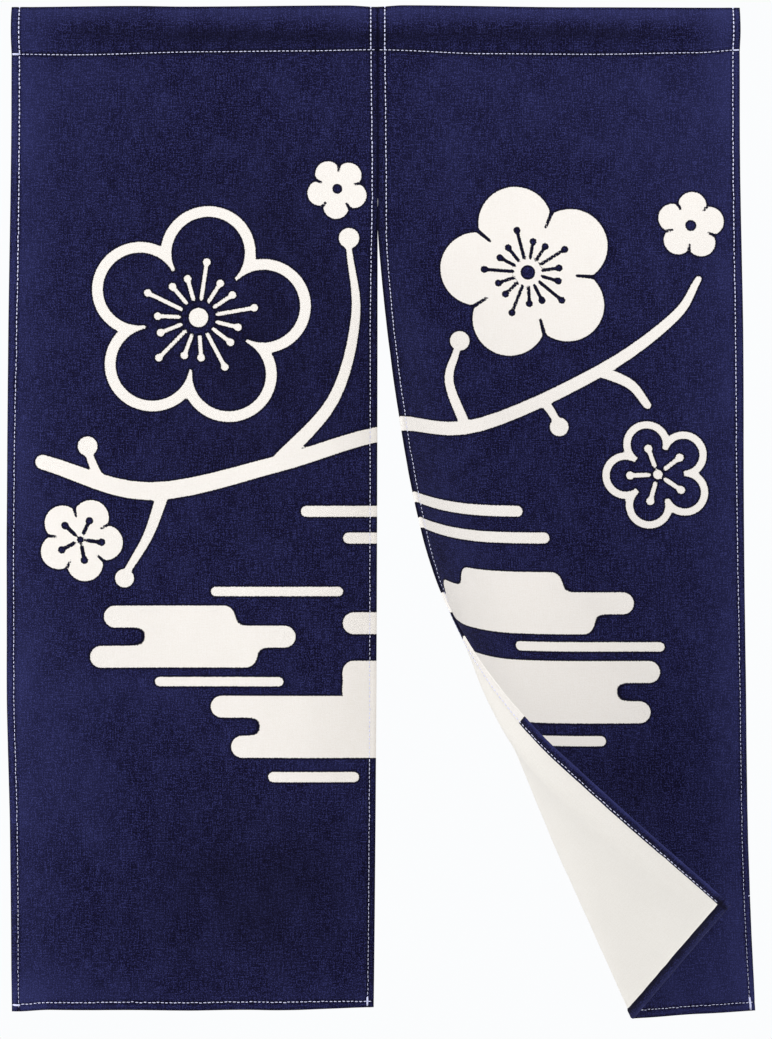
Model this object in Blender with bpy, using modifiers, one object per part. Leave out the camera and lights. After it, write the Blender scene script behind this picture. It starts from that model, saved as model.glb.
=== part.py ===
"""Noren: a doorway curtain of two canvas panels that hang from a sewn rod sleeve.

Metres, +Z up. The front faces -Y. The origin is the middle of the top edge.
The panels are sewn edge to edge down to the slit. Below it the right panel's
inner corner is lifted forward and turned over, so that its back shows.
"""

from collections import namedtuple
from math import cos, radians, sin, tau

import bmesh
import bpy
from mathutils import Matrix, Vector

# Overall sizes
DROP = 1.200
LEFT_WIDTH = 0.4378
RIGHT_WIDTH = 0.4327
SEAM_X = 0.0020
SLIT_TOP = 0.230
GAP = 0.0003

# Cloth
CLOTH = 0.0012
HEM_THICKNESS = 0.0024
SIDE_HEM = 0.010
BOTTOM_HEM = 0.010
HEM_STEP = 0.002

# Rod sleeve: a flattened tunnel, fuller behind than in front
SLEEVE_DEPTH = 0.052
SLEEVE_FRONT = 0.0040
SLEEVE_BACK = 0.0080
SLEEVE_OVERHANG = 0.0005
SLEEVE_SEGMENTS_ALONG = 8
SLEEVE_SEGMENTS_AROUND = 24
WELD_DISTANCE = 0.000001

# How far the hung cloth drifts from a plumb rectangle, at the bottom hem
LEFT_DRIFT_INNER = -0.0046
LEFT_DRIFT_POWER = 3.0
RIGHT_DRIFT = 0.0086
RIGHT_DRIFT_FREE_BY = 0.35
RIGHT_FLARE = 0.0103
RIGHT_FLARE_FROM = 0.55
RIGHT_SWING = 0.0180

# How far each outer edge bows sideways from that, at even steps from the top to the hem
EdgeBow = namedtuple("EdgeBow", "left right")
OUTER_EDGE_BOWS = (
    EdgeBow(0.0, 0.0),
    EdgeBow(-0.0023, 0.0004),
    EdgeBow(-0.0054, 0.0026),
    EdgeBow(-0.0068, 0.0014),
    EdgeBow(-0.0071, 0.0011),
    EdgeBow(-0.0032, -0.0014),
    EdgeBow(-0.0016, -0.0010),
)

# The turned corner: each ruling is a straight line on the cloth, from the slit
# edge (distance from the top) to the bottom hem (distance from the corner, past
# the panel's width where it leaves by the side). turn is the whole bend, in degrees, of the cloth past it.
Ruling = namedtuple("Ruling", "slit_edge hem_edge turn")
TURNED_CORNER = (
    Ruling(0.233, 0.514, 0.0),
    Ruling(0.254, 0.339, 26.5),
    Ruling(0.262, 0.278, 36.5),
    Ruling(0.603, 0.265, 65.5),
    Ruling(0.964, 0.260, 133.0),
    Ruling(1.059, 0.255, 137.0),
)
TURN_STEPS = 72

# Soft folds that hang down a panel: depth is how far forward each stands at the hem
SoftFold = namedtuple("SoftFold", "across half_width depth")
LEFT_FOLDS = (
    SoftFold(0.070, 0.060, 0.0050),
    SoftFold(0.215, 0.075, -0.0060),
    SoftFold(0.360, 0.055, 0.0045),
)
RIGHT_FOLDS = (
    SoftFold(0.330, 0.030, -0.0030),
    SoftFold(0.395, 0.035, 0.0040),
)
FOLD_POWER = 1.5

# The turned corner's slit hem rolls back a little, between two heights
HEM_ROLL = 0.006
HEM_ROLL_WIDTH = 0.034
HEM_ROLL_FROM = 0.70
HEM_ROLL_TO = 1.17
HEM_ROLL_EASE = 0.20

# Top and bottom lines as sewn: rise above the straight line, at points across
Level = namedtuple("Level", "across rise")
LEFT_TOP_LINE = (Level(0.0, 0.0), Level(0.21, -0.0004), Level(0.40, 0.0018), Level(0.4378, 0.0))
RIGHT_TOP_LINE = (Level(0.0, 0.0), Level(0.03, 0.0024), Level(0.25, 0.0014), Level(0.4327, -0.0004))
LEFT_HEM_LINE = (Level(0.0, -0.0026), Level(0.05, -0.0012), Level(0.30, -0.0007), Level(0.4378, 0.0020))
RIGHT_HEM_LINE = (Level(0.0, 0.0), Level(0.30, 0.0), Level(0.4327, 0.0014))
HEM_LINE_FROM = 0.80

# Mesh spacing: bands of rows down a panel, and where the right panel's columns
# stand at the bottom hem, which draw together at the turned corner's sharp bend
RowBand = namedtuple("RowBand", "end rows")
LEFT_ROW_BANDS = (RowBand(0.230, 4), RowBand(1.188, 18), RowBand(1.190, 1), RowBand(1.200, 1))
RIGHT_ROW_BANDS = (
    RowBand(0.230, 4),
    RowBand(0.290, 4),
    RowBand(0.620, 12),
    RowBand(1.000, 24),
    RowBand(1.188, 12),
    RowBand(1.190, 1),
    RowBand(1.200, 1),
)
ColumnGuide = namedtuple("ColumnGuide", "share at_knee at_hem")
COLUMN_KNEE = 0.95
RIGHT_COLUMN_GUIDES = (
    ColumnGuide(0.00, 0.012, 0.012),
    ColumnGuide(0.16, 0.045, 0.238),
    ColumnGuide(0.64, 0.165, 0.264),
    ColumnGuide(0.84, 0.285, 0.330),
    ColumnGuide(1.00, 0.4207, 0.4207),
)
LEFT_COLUMNS = 9
RIGHT_COLUMNS = 27

# Colours and finish of the printed cloth
NAVY = (0.020, 0.024, 0.085, 1.0)
CLOTH_ROUGHNESS = 0.9

COLLECTION = "noren_curtain"


def clear_scene():
    for existing in list(bpy.data.objects):
        bpy.data.objects.remove(existing, do_unlink=True)


def clamp01(value):
    return max(0.0, min(1.0, value))


def smoothstep(value):
    t = clamp01(value)
    return t * t * (3.0 - 2.0 * t)


def through(points, value):
    """Straight-line value at a place along (place, value) pairs."""
    for (x0, y0), (x1, y1) in zip(points, points[1:]):
        if value <= x1:
            return y0 + (y1 - y0) * clamp01((value - x0) / (x1 - x0))
    return points[-1][1]


def soft_through(points, value):
    """The same, with the corners between the pairs rounded off."""
    for (x0, y0), (x1, y1) in zip(points, points[1:]):
        if value <= x1:
            return y0 + (y1 - y0) * smoothstep((value - x0) / (x1 - x0))
    return points[-1][1]


def end_slope(near, far):
    slope = (3.0 * near - far) / 2.0
    if slope * near <= 0.0:
        return 0.0
    if near * far <= 0.0 and abs(slope) > abs(3.0 * near):
        return 3.0 * near
    return slope


def smooth_column(values, t):
    """A column of evenly spaced values read at t from 0 to 1, with no overshoot between them."""
    steps = [after - before for before, after in zip(values, values[1:])]
    slopes = [end_slope(steps[0], steps[1])]
    for before, after in zip(steps, steps[1:]):
        same_way = before * after > 0.0
        slopes.append(2.0 * before * after / (before + after) if same_way else 0.0)
    slopes.append(end_slope(steps[-1], steps[-2]))
    place = t * (len(values) - 1)
    i = min(int(place), len(values) - 2)
    s = place - i
    start = values[i] * (1.0 + 2.0 * s) * (1.0 - s) ** 2 + slopes[i] * s * (1.0 - s) ** 2
    end = values[i + 1] * s * s * (3.0 - 2.0 * s) + slopes[i + 1] * s * s * (s - 1.0)
    return start + end


def turned_corner_bends():
    """The fine rulings as (slit edge, hem edge) pairs, and the placement of the cloth past each."""
    columns = [[getattr(row, field) for row in TURNED_CORNER] for field in Ruling._fields]
    rows = [[smooth_column(column, i / TURN_STEPS) for column in columns] for i in range(TURN_STEPS + 1)]
    lines = []
    placements = [Matrix.Identity(4)]
    for (slit0, hem0, turn0), (slit1, hem1, turn1) in zip(rows, rows[1:]):
        slit = (slit0 + slit1) / 2.0
        hem = (hem0 + hem1) / 2.0
        foot = Vector((hem, 0.0, -DROP))
        along = Vector((0.0, 0.0, -slit)) - foot
        bend = Matrix.Rotation(radians(turn1 - turn0), 4, along)
        step = Matrix.Translation(foot) @ bend @ Matrix.Translation(-foot)
        lines.append((slit, hem))
        placements.append(placements[-1] @ step)
    return lines, placements


TURNED_LINES, TURNED_PLACEMENTS = turned_corner_bends()


def soft_fold_depth(folds, across, down):
    """How far forward the soft folds stand at a place on the cloth."""
    share = clamp01((down - SLEEVE_DEPTH) / (DROP - SLEEVE_DEPTH)) ** FOLD_POWER
    total = 0.0
    for fold in folds:
        away = (across - fold.across) / fold.half_width
        total += fold.depth * max(0.0, 1.0 - away * away / 4.0) ** 2
    return total * share


def hem_line_shift(line, across, down):
    """The bottom hem's rise, eased in over the lowest part of the panel."""
    return soft_through(line, across) * smoothstep((down / DROP - HEM_LINE_FROM) / (1.0 - HEM_LINE_FROM))


def hem_roll_depth(across, down):
    """How far the turned corner's slit hem stands off the flat of the corner."""
    started = smoothstep((down - HEM_ROLL_FROM) / HEM_ROLL_EASE)
    ended = smoothstep((HEM_ROLL_TO - down) / HEM_ROLL_EASE)
    return HEM_ROLL * started * ended * clamp01(1.0 - across / HEM_ROLL_WIDTH) ** 2


def outer_edge_bow(panel, height):
    """How far a panel's outer edge bows sideways at a height counted from 0 at the top to 1."""
    return smooth_column([getattr(row, panel) for row in OUTER_EDGE_BOWS], height)


def left_panel_point(across, down):
    """A place on the left panel, measured from its outer edge and from the top, as it hangs."""
    inner = across / LEFT_WIDTH
    height = down / DROP
    x = SEAM_X - GAP / 2.0 - LEFT_WIDTH + across
    x += LEFT_DRIFT_INNER * inner * height**LEFT_DRIFT_POWER
    x += outer_edge_bow("left", height) * (1.0 - inner)
    y = -CLOTH - soft_fold_depth(LEFT_FOLDS, across, down)
    z = -down + hem_line_shift(LEFT_HEM_LINE, across, down)
    return Vector((x, y, z))


def right_panel_point(across, down):
    """A place on the right panel, measured from its slit edge and from the top, as it hangs."""
    forward = soft_fold_depth(RIGHT_FOLDS, across, down) + hem_roll_depth(across, down)
    past = sum(1 for slit, hem in TURNED_LINES if hem * (down - slit) > (DROP - slit) * across)
    flat = Vector((across, -forward, -down + hem_line_shift(RIGHT_HEM_LINE, across, down)))
    x, y, z = TURNED_PLACEMENTS[past] @ flat
    height = clamp01(-z / DROP)
    below_slit = clamp01((height - SLIT_TOP / DROP) / (1.0 - SLIT_TOP / DROP))
    outer = across / RIGHT_WIDTH
    freed = smoothstep(below_slit / RIGHT_DRIFT_FREE_BY)
    x += SEAM_X + GAP / 2.0 + RIGHT_DRIFT * height * (freed + (1.0 - freed) * outer)
    x += RIGHT_FLARE * clamp01((height - RIGHT_FLARE_FROM) / (1.0 - RIGHT_FLARE_FROM)) ** 2
    x += outer_edge_bow("right", height) * outer**2
    y -= CLOTH + RIGHT_SWING * below_slit**2
    return Vector((x, y, z))


def rows_down(bands):
    """Distances from the top of every row of a panel, which starts just under the sleeve."""
    rows = [SLEEVE_DEPTH + GAP]
    for band in bands:
        start = rows[-1]
        rows += [start + (band.end - start) * (i + 1) / band.rows for i in range(band.rows)]
    return rows


def left_columns(down):
    inner = SIDE_HEM + HEM_STEP
    middle = [inner + (LEFT_WIDTH - 2.0 * inner) * i / LEFT_COLUMNS for i in range(LEFT_COLUMNS + 1)]
    return [0.0, SIDE_HEM] + middle + [LEFT_WIDTH - SIDE_HEM, LEFT_WIDTH]


def right_columns(down):
    """Columns spread evenly at the slit's top and draw towards the sharp bend at the hem."""
    inner = SIDE_HEM + HEM_STEP
    knee_line = [(guide.share, guide.at_knee) for guide in RIGHT_COLUMN_GUIDES]
    hem_line = [(guide.share, guide.at_hem) for guide in RIGHT_COLUMN_GUIDES]
    middle = []
    for i in range(RIGHT_COLUMNS + 1):
        share = i / RIGHT_COLUMNS
        even = inner + (RIGHT_WIDTH - 2.0 * inner) * share
        knee = through(knee_line, share)
        levels = ((SLIT_TOP, even), (COLUMN_KNEE, knee), (DROP, through(hem_line, share)))
        middle.append(through(levels, down))
    return [0.0, SIDE_HEM] + middle + [RIGHT_WIDTH - SIDE_HEM, RIGHT_WIDTH]


def printed_canvas(name):
    material = bpy.data.materials.new(name)
    material.use_nodes = True
    shader = material.node_tree.nodes["Principled BSDF"]
    shader.inputs["Base Color"].default_value = NAVY
    shader.inputs["Roughness"].default_value = CLOTH_ROUGHNESS
    shader.inputs["Metallic"].default_value = 0.0
    return material


def add_object(name, mesh_data, collection):
    piece = bpy.data.objects.new(name, mesh_data)
    collection.objects.link(piece)
    mesh_data.materials.append(printed_canvas(name + "_canvas"))
    mesh_data.shade_smooth()
    return piece


def grid_cells(bm, across_segments, down_segments):
    """A flat grid, with each vertex's column and row counted from the top left."""
    made = bmesh.ops.create_grid(bm, x_segments=across_segments, y_segments=down_segments, size=0.5)
    for vertex in made["verts"]:
        column = round((vertex.co.x + 0.5) * across_segments)
        row = round((0.5 - vertex.co.y) * down_segments)
        yield vertex, column, row


def add_panel(name, columns_at, bands, place, width, collection):
    """A hung sheet whose side and bottom hems are turned to the back and twice as thick."""
    rows = rows_down(bands)
    bm = bmesh.new()
    hem_vertices = []
    cells = list(grid_cells(bm, len(columns_at(0.0)) - 1, len(rows) - 1))
    for index, (vertex, column, row) in enumerate(cells):
        down = rows[row]
        across = columns_at(down)[column]
        vertex.co = place(across, down)
        vertex.index = index
        at_side = min(across, width - across) < SIDE_HEM + HEM_STEP / 2.0
        if at_side or down > DROP - BOTTOM_HEM - HEM_STEP / 2.0:
            hem_vertices.append(index)
    bmesh.ops.triangulate(bm, faces=bm.faces, quad_method="ALTERNATE")
    mesh_data = bpy.data.meshes.new(name)
    bm.to_mesh(mesh_data)
    bm.free()
    panel = add_object(name, mesh_data, collection)
    hems = panel.vertex_groups.new(name="hems")
    hems.add(hem_vertices, 1.0, "REPLACE")
    thicken(panel, HEM_THICKNESS, -1.0)
    thickness = panel.modifiers["Cloth thickness"]
    thickness.vertex_group = hems.name
    thickness.thickness_vertex_group = CLOTH / HEM_THICKNESS
    return panel


def thicken(piece, thickness, side):
    """Gives an open surface its thickness: side 1 grows along the normals, -1 against them."""
    modifier = piece.modifiers.new("Cloth thickness", "SOLIDIFY")
    modifier.thickness = thickness
    modifier.offset = side
    modifier.use_even_offset = True
    modifier.use_rim = True


def add_sleeve(name, start_x, end_x, top_line, across_at_start, collection):
    """The rod sleeve: front and back layers of one width, open at both ends."""
    bm = bmesh.new()
    middle = -SLEEVE_DEPTH / 2.0
    half_height = SLEEVE_DEPTH / 2.0 - CLOTH
    for vertex, column, row in grid_cells(bm, SLEEVE_SEGMENTS_ALONG, SLEEVE_SEGMENTS_AROUND):
        angle = tau * row / SLEEVE_SEGMENTS_AROUND
        behind = -sin(angle)
        upward = cos(angle)
        depth = SLEEVE_BACK if behind > 0.0 else SLEEVE_FRONT
        x = start_x + (end_x - start_x) * column / SLEEVE_SEGMENTS_ALONG
        rise = soft_through(top_line, across_at_start + x - start_x) * (1.0 + upward) / 2.0
        vertex.co = Vector((x, behind * depth, middle + upward * half_height + rise))
    bmesh.ops.remove_doubles(bm, verts=bm.verts, dist=WELD_DISTANCE)
    mesh_data = bpy.data.meshes.new(name)
    bm.to_mesh(mesh_data)
    bm.free()
    sleeve = add_object(name, mesh_data, collection)
    thicken(sleeve, CLOTH, 1.0)
    return sleeve


def main():
    clear_scene()
    collection = bpy.data.collections.new(COLLECTION)
    bpy.context.scene.collection.children.link(collection)
    left_edge = SEAM_X - GAP / 2.0 - LEFT_WIDTH
    right_edge = SEAM_X + GAP / 2.0 + RIGHT_WIDTH
    add_sleeve(
        "heading_left",
        left_edge - SLEEVE_OVERHANG,
        SEAM_X - GAP / 2.0,
        LEFT_TOP_LINE,
        -SLEEVE_OVERHANG,
        collection,
    )
    add_sleeve(
        "heading_right",
        SEAM_X + GAP / 2.0,
        right_edge + SLEEVE_OVERHANG,
        RIGHT_TOP_LINE,
        0.0,
        collection,
    )
    add_panel("panel_left", left_columns, LEFT_ROW_BANDS, left_panel_point, LEFT_WIDTH, collection)
    add_panel("panel_right", right_columns, RIGHT_ROW_BANDS, right_panel_point, RIGHT_WIDTH, collection)


main()
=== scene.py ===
"""Noren curtain, dressed: sewn canvas panels on a rod sleeve, with print, weave and stitches.

Metres, +Z up. The front faces -Y and the origin is the middle of the top edge.
A place on the cloth is (across, down): from a panel's left side and from the top.
"""

from collections import namedtuple
from math import cos, pi, radians, sin, tau

import bpy
import numpy as np
from mathutils import Matrix, Vector


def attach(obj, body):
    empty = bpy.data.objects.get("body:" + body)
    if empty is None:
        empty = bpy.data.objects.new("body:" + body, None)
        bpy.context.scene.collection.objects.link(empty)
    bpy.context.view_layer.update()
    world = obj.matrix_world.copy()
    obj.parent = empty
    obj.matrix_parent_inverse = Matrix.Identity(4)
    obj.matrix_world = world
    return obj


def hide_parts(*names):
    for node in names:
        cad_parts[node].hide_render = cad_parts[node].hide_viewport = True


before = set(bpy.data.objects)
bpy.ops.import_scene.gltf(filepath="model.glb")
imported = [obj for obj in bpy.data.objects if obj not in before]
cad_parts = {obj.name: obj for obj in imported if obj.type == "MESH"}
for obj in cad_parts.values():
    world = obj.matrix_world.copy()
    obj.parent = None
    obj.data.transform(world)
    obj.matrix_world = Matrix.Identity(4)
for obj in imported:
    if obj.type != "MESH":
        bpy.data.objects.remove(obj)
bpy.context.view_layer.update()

# Sizes, as the solids have them
DROP = 1.200
LEFT_WIDTH = 0.4378
RIGHT_WIDTH = 0.4327
SEAM_X = 0.0020
SLIT_TOP = 0.230
GAP = 0.0003
CLOTH = 0.0012
HEM_EXTRA = 0.0012
SLEEVE_DEPTH = 0.052
SLEEVE_OVERHANG = 0.0005

LEFT_DRIFT_INNER = -0.0046
LEFT_DRIFT_POWER = 3.0
RIGHT_DRIFT = 0.0086
RIGHT_DRIFT_FREE_BY = 0.35
RIGHT_FLARE = 0.0103
RIGHT_FLARE_FROM = 0.55
RIGHT_SWING = 0.0180
EdgeBow = namedtuple("EdgeBow", "left right")
OUTER_EDGE_BOWS = (
    EdgeBow(0.0, 0.0),
    EdgeBow(-0.0023, 0.0004),
    EdgeBow(-0.0054, 0.0026),
    EdgeBow(-0.0068, 0.0014),
    EdgeBow(-0.0071, 0.0011),
    EdgeBow(-0.0032, -0.0014),
    EdgeBow(-0.0016, -0.0010),
)
Ruling = namedtuple("Ruling", "slit_edge hem_edge turn")
TURNED_CORNER = (
    Ruling(0.233, 0.514, 0.0),
    Ruling(0.254, 0.339, 26.5),
    Ruling(0.262, 0.278, 36.5),
    Ruling(0.603, 0.265, 65.5),
    Ruling(0.964, 0.260, 133.0),
    Ruling(1.059, 0.255, 137.0),
)
TURN_STEPS = 240
SoftFold = namedtuple("SoftFold", "across half_width depth")
LEFT_FOLDS = (
    SoftFold(0.070, 0.060, 0.0050),
    SoftFold(0.215, 0.075, -0.0060),
    SoftFold(0.360, 0.055, 0.0045),
)
RIGHT_FOLDS = (
    SoftFold(0.330, 0.030, -0.0030),
    SoftFold(0.395, 0.035, 0.0040),
)
FOLD_POWER = 1.5
HEM_ROLL = 0.006
HEM_ROLL_WIDTH = 0.034
HEM_ROLL_FROM = 0.70
HEM_ROLL_TO = 1.17
HEM_ROLL_EASE = 0.20
Level = namedtuple("Level", "across rise")
LEFT_TOP_LINE = (
    Level(0.0, 0.0),
    Level(0.148, 0.0014),
    Level(0.205, 0.0006),
    Level(0.40, 0.0020),
    Level(0.4378, 0.0003),
)
RIGHT_TOP_LINE = (Level(0.0, 0.0003), Level(0.03, 0.0022), Level(0.24, -0.0002), Level(0.4327, -0.0008))
LEFT_HEM_LINE = (
    Level(0.0, -0.0038),
    Level(0.05, -0.0006),
    Level(0.11, -0.0012),
    Level(0.22, -0.0035),
    Level(0.30, -0.0015),
    Level(0.4378, 0.0020),
)
RIGHT_HEM_LINE = (Level(0.0, 0.0), Level(0.28, 0.0002), Level(0.36, 0.0018), Level(0.4327, 0.0030))
HEM_LINE_FROM = 0.80

# Stitch lines
Inset = namedtuple("Inset", "along inset")
LEFT_OUTER_STITCHES = (
    Inset(0.0, 0.0095),
    Inset(0.32, 0.0105),
    Inset(0.60, 0.0086),
    Inset(1.04, 0.0092),
    Inset(1.2, 0.0086),
)
LEFT_INNER_STITCHES = (Inset(0.0, 0.0084), Inset(0.22, 0.0066), Inset(0.39, 0.0086), Inset(1.2, 0.0074))
RIGHT_INNER_STITCHES = (Inset(0.0, 0.0083), Inset(0.22, 0.0100), Inset(0.42, 0.0088), Inset(1.2, 0.0085))
RIGHT_OUTER_STITCHES = (Inset(0.0, 0.0082), Inset(0.41, 0.0094), Inset(0.82, 0.0076), Inset(1.2, 0.0078))
LEFT_BOTTOM_STITCHES = (Inset(0.0, 0.0086), Inset(0.15, 0.0096), Inset(0.345, 0.0098), Inset(0.4378, 0.0074))
RIGHT_BOTTOM_STITCHES = (Inset(0.0, 0.0080), Inset(0.30, 0.0090), Inset(0.4327, 0.0098))
LEFT_HEADING_STITCHES = (
    Inset(0.0, 0.0570),
    Inset(0.07, 0.0578),
    Inset(0.235, 0.0540),
    Inset(0.34, 0.0530),
    Inset(0.4378, 0.0514),
)
RIGHT_HEADING_STITCHES = (
    Inset(0.0, 0.0516),
    Inset(0.13, 0.0564),
    Inset(0.26, 0.0572),
    Inset(0.38, 0.0552),
    Inset(0.4327, 0.0518),
)
HEM_PAST_STITCH = 0.0030
JOIN_PAST_STITCH = 0.0010
STITCH_PITCH = 0.0051
STITCH_LENGTH = 0.0034
SIDE_LINE_END = DROP - 0.0030
TURNED_LINE_END = 1.1860
TURNED_BOTTOM_FROM = 0.27
SLEEVE_BACK_STITCHES = 0.0028
GROOVE_DEPTH = 0.00030
GROOVE_HALF = 0.0016
PUCKER_HALF = 0.0090
PANEL_PUCKER = 0.00036
SLEEVE_PUCKER = 0.00028
EDGE_ROUNDING = 0.0007
EDGE_ROUNDING_WIDTH = 0.0018
HEM_SWELL = 0.00025
HEM_SWELL_WIDTH = 0.0095
THREAD_RADIUS = 0.00078
THREAD_ARCH = 0.00022
TACK_RADIUS = 0.00034
TACK_ARCH = 0.0005
TACK_PITCH = 0.00048

# The share of the thread's radius that shows: less where the stitches lie deeper in the cloth
Shows = namedtuple("Shows", "down share")
THREAD_SHOWS = {
    "left": (Shows(0.0, 0.92), Shows(0.28, 0.84), Shows(0.45, 0.60), Shows(0.95, 0.54), Shows(1.2, 0.42)),
    "right": (Shows(0.0, 0.84), Shows(0.30, 0.78), Shows(0.65, 0.62), Shows(0.86, 0.40), Shows(1.2, 0.38)),
}
BOTTOM_SHOWS = {"left": 0.70, "right": 0.54}
HEADING_SHOWS = 0.70
BACK_SHOWS = 0.60
SEAM_OVERLAP = 0.00022
NORMAL_REACH = 0.0012

# Mesh spacing: shares of a hem's width for its own columns, then even ones
HEM_SHARES = (0.0, 0.15, 0.35, 0.52, 0.72, 0.82, 0.97, 1.02, 1.07, 1.25)
MIDDLE_COLUMNS = 137
EVEN_SHARES = [(i + 1) / (MIDDLE_COLUMNS + 1) for i in range(MIDDLE_COLUMNS)]
MIDDLE_ROWS = 391
SLEEVE_ROWS = 56
SLEEVE_CUTS = 12
TWIG_CUTS = 6
ColumnGuide = namedtuple("ColumnGuide", "share at_knee at_hem")
COLUMN_KNEE = 0.95
RIGHT_COLUMN_GUIDES = (
    ColumnGuide(0.00, 0.012, 0.012),
    ColumnGuide(0.20, 0.075, 0.215),
    ColumnGuide(0.45, 0.170, 0.258),
    ColumnGuide(0.62, 0.235, 0.280),
    ColumnGuide(1.00, 0.4207, 0.4207),
)


def clamp01(value):
    return np.clip(value, 0.0, 1.0)


def smoothstep(value):
    t = clamp01(value)
    return t * t * (3.0 - 2.0 * t)


def bell(away, half_width):
    return np.exp(-((away / half_width) ** 2))


def soft_through(points, value):
    """Value at a place along (place, value) pairs, with the corners rounded off."""
    places, values = np.array(points, float).T
    i = np.clip(np.searchsorted(places, value, side="right") - 1, 0, len(places) - 2)
    t = smoothstep((value - places[i]) / (places[i + 1] - places[i]))
    return values[i] + (values[i + 1] - values[i]) * t


def end_slope(near, far):
    slope = (3.0 * near - far) / 2.0
    if slope * near <= 0.0:
        return 0.0
    if near * far <= 0.0 and abs(slope) > abs(3.0 * near):
        return 3.0 * near
    return slope


def smooth_column(values, t):
    """A column of evenly spaced values read at t from 0 to 1, with no overshoot between them."""
    values = np.array(values, float)
    steps = np.diff(values)
    slopes = [end_slope(steps[0], steps[1])]
    for before, after in zip(steps, steps[1:]):
        slopes.append(2.0 * before * after / (before + after) if before * after > 0.0 else 0.0)
    slopes = np.array(slopes + [end_slope(steps[-1], steps[-2])])
    place = clamp01(t) * (len(values) - 1)
    i = np.minimum(place.astype(int), len(values) - 2)
    s = place - i
    start = values[i] * (1.0 + 2.0 * s) * (1.0 - s) ** 2 + slopes[i] * s * (1.0 - s) ** 2
    end = values[i + 1] * s * s * (3.0 - 2.0 * s) + slopes[i + 1] * s * s * (s - 1.0)
    return start + end


def spline(points, cuts):
    """Points on a smooth curve through the given ones, in even cuts and without the last."""
    padded = np.vstack([2.0 * points[0] - points[1], points, 2.0 * points[-1] - points[-2]])
    made = []
    for a, b, c, d in zip(padded, padded[1:], padded[2:], padded[3:]):
        for t in np.linspace(0.0, 1.0, cuts, endpoint=False):
            square = (2.0 * a - 5.0 * b + 4.0 * c - d) * t**2
            cube = (3.0 * b - a - 3.0 * c + d) * t**3
            made.append(0.5 * (2.0 * b + (c - a) * t + square + cube))
    return made


def soft_noise(x, y, cell_x, cell_y, seed):
    """Smooth noise from -1 to 1 over the cloth, with its own cell size each way."""
    lattice = np.random.default_rng(seed).uniform(-1.0, 1.0, (97, 97))
    grid_x = x / cell_x + 11.3
    grid_y = y / cell_y + 17.7
    ix = np.floor(grid_x).astype(int)
    iy = np.floor(grid_y).astype(int)
    fx = smoothstep(grid_x - ix)
    fy = smoothstep(grid_y - iy)
    low = lattice[ix % 97, iy % 97] * (1.0 - fx) + lattice[(ix + 1) % 97, iy % 97] * fx
    high = lattice[ix % 97, (iy + 1) % 97] * (1.0 - fx) + lattice[(ix + 1) % 97, (iy + 1) % 97] * fx
    return low * (1.0 - fy) + high * fy


# How the cloth hangs
def turned_corner_bends():
    """The fine rulings' slit and hem crossings, and the placement of the cloth past each."""
    t = np.linspace(0.0, 1.0, TURN_STEPS + 1)
    slit, hem, turn = (smooth_column(column, t) for column in zip(*TURNED_CORNER))
    slit = (slit[1:] + slit[:-1]) / 2.0
    hem = (hem[1:] + hem[:-1]) / 2.0
    placements = [Matrix.Identity(4)]
    for slit_edge, hem_edge, bend in zip(slit, hem, np.diff(turn)):
        foot = Vector((hem_edge, 0.0, -DROP))
        along = Vector((0.0, 0.0, -slit_edge)) - foot
        turned = Matrix.Rotation(radians(bend), 4, along)
        placements.append(placements[-1] @ Matrix.Translation(foot) @ turned @ Matrix.Translation(-foot))
    return slit, hem, np.array([np.array(placement) for placement in placements])


TURNED_SLIT, TURNED_HEM, TURNED_PLACEMENTS = turned_corner_bends()


def soft_fold_depth(folds, across, down):
    share = clamp01((down - SLEEVE_DEPTH) / (DROP - SLEEVE_DEPTH)) ** FOLD_POWER
    total = np.zeros_like(across)
    for fold in folds:
        away = (across - fold.across) / fold.half_width
        total = total + fold.depth * np.maximum(0.0, 1.0 - away * away / 4.0) ** 2
    return total * share


def hem_line_shift(line, across, down):
    return soft_through(line, across) * smoothstep((down / DROP - HEM_LINE_FROM) / (1.0 - HEM_LINE_FROM))


def hem_roll_depth(across, down):
    started = smoothstep((down - HEM_ROLL_FROM) / HEM_ROLL_EASE)
    ended = smoothstep((HEM_ROLL_TO - down) / HEM_ROLL_EASE)
    return HEM_ROLL * started * ended * clamp01(1.0 - across / HEM_ROLL_WIDTH) ** 2


def outer_edge_bow(panel, height):
    return smooth_column([getattr(row, panel) for row in OUTER_EDGE_BOWS], height)


def sewn_seam(down, from_slit):
    """A panel's overlap with its neighbour where the seam is sewn: from_slit is a share of its width."""
    above_slit = smoothstep((SLIT_TOP + 0.004 - down) / 0.008)
    return SEAM_OVERLAP * above_slit * smoothstep((0.05 - from_slit) / 0.05)


def left_base(across, down):
    """The left panel's middle front surface, without the small relief."""
    inner = across / LEFT_WIDTH
    height = down / DROP
    x = SEAM_X - GAP / 2.0 - LEFT_WIDTH + across
    x = x + LEFT_DRIFT_INNER * inner * clamp01(height) ** LEFT_DRIFT_POWER
    x = x + outer_edge_bow("left", height) * (1.0 - inner)
    x = x + sewn_seam(down, 1.0 - inner)
    y = -CLOTH - soft_fold_depth(LEFT_FOLDS, across, down)
    z = -down + hem_line_shift(LEFT_HEM_LINE, across, down)
    return np.stack([x, y, z], -1)


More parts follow.
